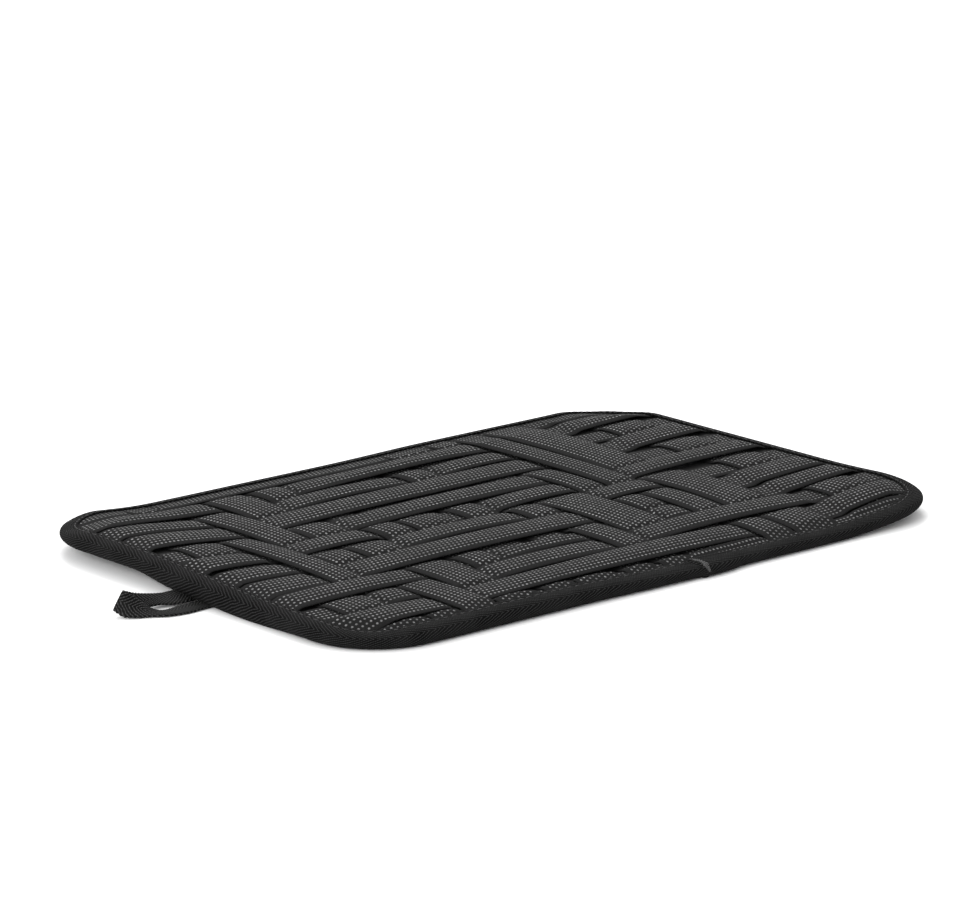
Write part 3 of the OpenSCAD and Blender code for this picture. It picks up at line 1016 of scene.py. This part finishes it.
# The loop's tape, in millimetres from the board's middle: its near-side edge and its far-side edge,
# from under the board out along the near strand, round the fold at the tip and back
LOOP_LOW_EDGE = [
    (-140, -12.2, 1.6), (-146, -12, 0.9), (-152, -11.6, 0.75), (-161, -12.2, 0.75), (-169, -10.8, 0.75),
    (-175, -7.0, 0.7), (-180, -4.4, 0.7), (-183.2, -2.0, 1.0), (-184.6, 0.6, 2.2), (-184.8, 2.4, 2.7),
    (-182.8, 3.6, 2.4), (-179, 2.4, 1.8), (-174, 0.6, 1.7), (-166, 0.0, 1.9), (-159, -1.6, 1.3),
    (-152, -1.2, 1.1), (-146, 0.8, 1.1), (-140, 0.8, 1.8)]
LOOP_HIGH_EDGE = [
    (-140, -2.8, 1.6), (-146, -2.9, 0.9), (-152, -3.0, 0.75), (-160, -3.3, 0.65), (-167, -3.7, 0.65),
    (-170.3, -1.0, 1.6), (-173, 2.4, 4.7), (-175.4, 3.6, 6.8), (-177.4, 4.0, 8.0), (-177.8, 5.6, 8.3),
    (-176, 6.6, 7.6), (-172.6, 6.8, 6.2), (-168, 6.8, 5.0), (-160, 7.2, 3.5), (-153, 8.6, 2.9),
    (-149, 9.4, 2.4), (-145, 9.8, 2.0), (-140, 9.9, 2.4)]


def make_loop(look):
    """The loop's folded tape, which runs out from under the board's edge."""
    steps, columns = 260, 11
    low = spline(LOOP_LOW_EDGE, steps) * MM
    high = spline(LOOP_HIGH_EDGE, steps) * MM
    middle = (low + high) / 2
    run = np.gradient(middle, axis=0)
    run /= np.linalg.norm(run, axis=1)[:, None]
    wide = high - low
    normal = np.cross(run, wide)
    normal /= np.linalg.norm(normal, axis=1)[:, None]
    walk = np.concatenate([[0], np.cumsum(np.linalg.norm(np.diff(middle, axis=0), axis=1))])
    scallop = 1 + 0.03 * np.sin(walk / (1.5 * MM) * 2 * math.pi)
    top_t = np.linspace(-1, 1, columns)
    t = np.concatenate([top_t, top_t[::-1]])
    side = np.concatenate([np.ones(columns), -np.ones(columns)])
    half = 0.5 * MM * (1 - 0.35 * np.abs(t) ** 6) * side
    points = (middle[:, None, :] + wide[:, None, :] / 2 * t[:, None] * scallop[:, None, None]
              + normal[:, None, :] * half[:, None])
    points[..., 2] = np.maximum(points[..., 2], 0.02 * MM)
    points = points + np.array([MID_X, MID_Y, 0])
    uv = np.stack(np.broadcast_arrays(walk[:, None] / MM, t * 4.7), axis=-1)
    mesh = grid_mesh("pull_loop_tape", points, uv)
    piece = add_object("pull_loop_tape", mesh, look)
    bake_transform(piece)
    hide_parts("pull_loop", "pull_loop_ends")


# ------------ metal parts


def metal_material(name, dark, worn, roughness):
    """Painted die-cast metal, rubbed bright in places."""
    n = Nodes(name)
    where = n.object_mm()
    cloud = n.noise(where, 0.5, 4.0, 0.6)
    grain = n.noise(where, 7.0, 3.0, 0.7)
    rubbed = n.ramp(n.math("ADD", cloud, n.math("MULTIPLY", grain, 0.25)), 0.66, 0.95)
    colour = n.mix(rubbed, dark, worn)
    rough = n.ramp(cloud, 0.3, 0.7, roughness - 0.08, roughness + 0.1)
    return n.finish(Base_Color=colour, Metallic=1.0, Roughness=rough, Normal=n.bump(grain, 0.03 * MM))


def refinish(node, look):
    """Gives a CAD node that shows in the picture its own look."""
    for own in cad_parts[node].material_slots:
        own.link = "OBJECT"
        own.material = look


# ------------ camera, lights and floor


def aim(obj, target):
    obj.rotation_mode = "QUATERNION"
    obj.rotation_quaternion = (Vector(target) - obj.location).to_track_quat("-Z", "Y")


def make_camera():
    """The photograph's view: from the board's near left, a little above it."""
    azimuth, elevation, distance = math.radians(-41.15), math.radians(14.61), 2.103
    back = Vector((math.sin(azimuth) * math.cos(elevation), -math.cos(azimuth) * math.cos(elevation),
                   math.sin(elevation)))
    target = Vector((MID_X + 74.8 * MM, MID_Y + 92.7 * MM, 0))
    camera = bpy.data.objects.new("camera", bpy.data.cameras.new("camera"))
    camera.data.sensor_width = 36
    camera.data.lens = 189.5
    camera.data.clip_start, camera.data.clip_end = 0.05, 50
    camera.location = target + back * distance
    aim(camera, target)
    add_to_scene(camera)
    bpy.context.scene.camera = camera


def area_light(name, place_at, size, power, target=(0, 0, 0)):
    light = bpy.data.lights.new(name, "AREA")
    light.shape = "SQUARE"
    light.size = size
    light.energy = power
    obj = bpy.data.objects.new(name, light)
    obj.location = place_at
    aim(obj, target)
    add_to_scene(obj)


def make_studio():
    """A white room with two soft lights, and a white floor to lie on."""
    world = bpy.data.worlds.new("studio")
    world.use_nodes = True
    background = world.node_tree.nodes["Background"]
    background.inputs["Color"].default_value = (1, 1, 1, 1)
    background.inputs["Strength"].default_value = 1.0
    bpy.context.scene.world = world
    bpy.context.scene.view_settings.view_transform = "Standard"
    area_light("key_softbox", (0.9, 1.3, 1.5), 1.2, 36)
    area_light("fill_softbox", (-1.65, -0.4, 0.7), 1.0, 24)
    half = 4.0
    points = [(-half, -half, 0), (half, -half, 0), (half, half, 0), (-half, half, 0)]
    floor = bpy.data.objects.new("floor", build_mesh("floor", np.array(points), [np.arange(4)]))
    paint = Nodes("floor_white")
    mottle = paint.noise(paint.object_mm(), 0.01)
    colour = paint.mix(mottle, grey(0.93), grey(0.95))
    floor.data.materials.append(paint.finish(Base_Color=colour, Roughness=0.9, Specular_IOR_Level=0.2))
    add_to_scene(floor)


make_camera()
make_studio()

binding_twill = twill_material("binding_twill", grey(0.002), grey(0.032), 2.5, 2.0, 11.5, 3.0)
loop_twill = twill_material("loop_twill", grey(0.002), grey(0.060), 1.6, 1.0, 4.7)
thread = woven_material("thread", grey(0.010), grey(0.022), 0.5, 0.05 * MM, 0.6, 0.02)
# The cover is black cloth, painted darker still: painted shade for the deep gaps between the bands, where
# it shows
cover_cloth_darkened_for_shade = woven_material("cover_cloth_darkened_for_shade", grey(0.003), grey(0.007), 0.9, 0.08 * MM, 0.9, 0.0)
lining_cloth = woven_material("lining_cloth", grey(0.012), grey(0.022), 0.7, 0.06 * MM)
panel_cloth = woven_material("panel_cloth", grey(0.008), grey(0.022), 1.1, 0.16 * MM, 0.8, 0.03)
core_look = woven_material("core_board_look", grey(0.02), grey(0.03), 6.0, 0.05 * MM, 0.6, 0.0)
zip_cloth = woven_material("zip_cloth", grey(0.007), grey(0.018), 0.8, 0.12 * MM, 0.75, 0.03)
coil_plastic = woven_material("coil_plastic", grey(0.012), grey(0.020), 2.3, 0.02 * MM, 0.35, 0.0)
slider_metal = metal_material("slider_metal", grey(0.06), grey(0.20), 0.35)
stop_metal = metal_material("stop_metal", grey(0.12), grey(0.30), 0.30)

make_weave()
make_binding(binding_twill)
make_lap_fold(woven_material("raw_edge", grey(0.010), grey(0.10), 0.6, 0.25 * MM, 0.9, 0.1))
make_binding_seam(thread)
make_inner_layers(core_look, cover_cloth_darkened_for_shade, lining_cloth)
make_pocket_piece("pocket_panel", "pocket_back_panel", ZIP_Y + HEM_GAP, 1, 60, panel_cloth, -1, 1.0)
make_pocket_piece("pocket_strip", "pocket_back_strip", -1, ZIP_Y - HEM_GAP, 24, panel_cloth, 1, 2.0)
make_zip(zip_cloth, coil_plastic, thread)
make_loop(loop_twill)
for metal_node in ("zip_slider", "zip_pull"):
    refinish(metal_node, slider_metal)
for metal_node in ("zip_top_stop", "zip_bottom_stop"):
    refinish(metal_node, stop_metal)
